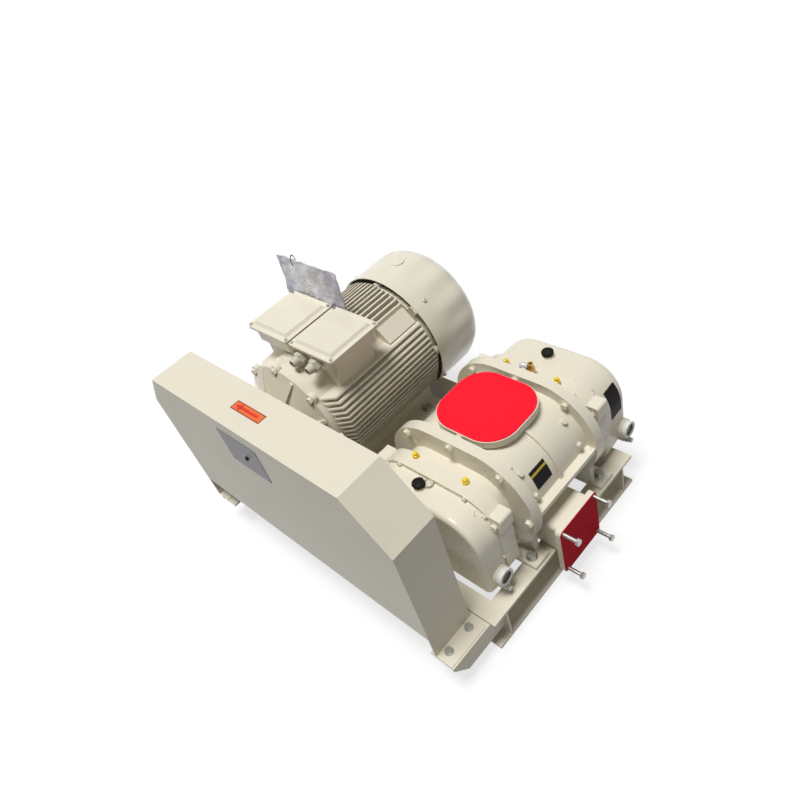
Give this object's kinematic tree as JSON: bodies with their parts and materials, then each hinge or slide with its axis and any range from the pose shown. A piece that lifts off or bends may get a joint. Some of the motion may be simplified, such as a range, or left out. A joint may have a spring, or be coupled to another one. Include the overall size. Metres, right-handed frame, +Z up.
{
  "type": "roots vacuum pump",
  "caption": "Twin-shaft lobed vacuum pump and finned motor on a steel channel base, joined by V-belts under a sheet guard.",
  "frame": {"origin": "on the floor, at the centre of the four foundation bolt holes in the base's cross channels", "axes": "+Z up, +X from the motor towards the pump, +Y along the shafts away from the belt guard"},
  "size_m": [1.1723, 0.9565, 0.735],
  "materials": {
    "cream_paint": "semi-gloss cream enamel",
    "cream_casting": "gloss cream enamel over cast iron",
    "cream_sheet": "gloss cream enamel on sheet steel",
    "bare_steel": "zinc-plated or machined steel",
    "cast_iron": "dark phosphated iron",
    "copper_winding": "varnished copper",
    "belt_rubber": "matt black rubber",
    "yellow_plastic": "gloss yellow plastic",
    "black_plastic": "matt black plastic",
    "grey_plastic": "grey-beige nylon",
    "white_ring": "white ring",
    "dark_glass": "clear glass over a dark oil space",
    "plated_fitting": "plated",
    "red_film": "matt bright red film",
    "crimson_film": "matt crimson film",
    "brass": "bare brass",
    "clear_film": "clear film over white paper"
  },
  "bodies": {
    "root": {"cross_channel_near": "cream_paint", "cross_channel_far": "cream_paint", "side_channel_motor": "cream_paint", "side_channel_pump": "cream_paint", "inner_channel_motor": "cream_paint", "inner_channel_pump": "cream_paint", "guard_bracket_pump": "cream_paint", "guard_bracket_motor": "cream_paint", "pump_casing": "cream_casting", "side_plate_near": "cream_casting", "side_plate_far": "cream_casting", "oil_cover": "cream_casting", "gear_cover": "cream_casting", "shaft_seal": "belt_rubber", "rotor_bearings": "bare_steel", "motor_frame": "cream_casting", "motor_drive_shield": "cream_casting", "motor_fan_shield": "cream_casting", "drive_shield_bolts": "cream_casting", "stator_core": "bare_steel", "stator_windings": "copper_winding", "motor_bearings": "bare_steel", "fan_cowl": "cream_sheet", "terminal_box_left": "cream_sheet", "terminal_box_right": "cream_sheet", "box_lid_left": "cream_sheet", "box_lid_right": "cream_sheet", "lid_screws": "bare_steel", "cable_glands": "grey_plastic", "v_belts": "belt_rubber", "belt_guard": "cream_sheet", "guard_back_plate": "cream_sheet", "guard_window": "bare_steel", "guard_bolts": "bare_steel", "motor_slide_rails": "cream_paint", "motor_foot_bolts": "cream_casting", "pump_foot_bolts": "cream_casting", "side_plate_bolts": "cream_casting", "vent_plugs": "yellow_plastic", "oil_filler_caps": "black_plastic", "sight_glass_rings": "white_ring", "sight_glasses": "dark_glass", "drain_plugs": "plated_fitting", "inlet_cover": "red_film", "outlet_cover": "crimson_film", "outlet_bolts": "bare_steel", "gauge_fitting": "brass", "document_bag": "clear_film"},
    "drive_shaft": {"drive_rotor": "bare_steel", "drive_timing_gear": "bare_steel", "pump_sheave": "cast_iron", "pump_taper_bush": "cast_iron"},
    "idler_shaft": {"idler_rotor": "bare_steel", "idler_timing_gear": "bare_steel"},
    "motor_rotor": {"motor_shaft": "bare_steel", "motor_rotor_core": "bare_steel", "motor_sheave": "cast_iron", "motor_taper_bush": "cast_iron", "cooling_fan": "black_plastic"}
  },
  "joints": [
    {"name": "drive_spin", "type": "hinge", "parent": "root", "child": "drive_shaft", "pos_m": [0.212, 0, 0.297], "axis": [0, 1, 0], "continuous": true},
    {"name": "idler_spin", "type": "hinge", "parent": "root", "child": "idler_shaft", "pos_m": [0.364, 0, 0.297], "axis": [0, 1, 0], "continuous": true},
    {"name": "motor_spin", "type": "hinge", "parent": "root", "child": "motor_rotor", "pos_m": [-0.296, 0, 0.363], "axis": [0, 1, 0], "continuous": true}
  ],
  "couplings": [
    {"joint": "drive_spin", "follows": "motor_spin", "ratio": 1.1875},
    {"joint": "idler_spin", "follows": "motor_spin", "ratio": -1.1875}
  ]
}
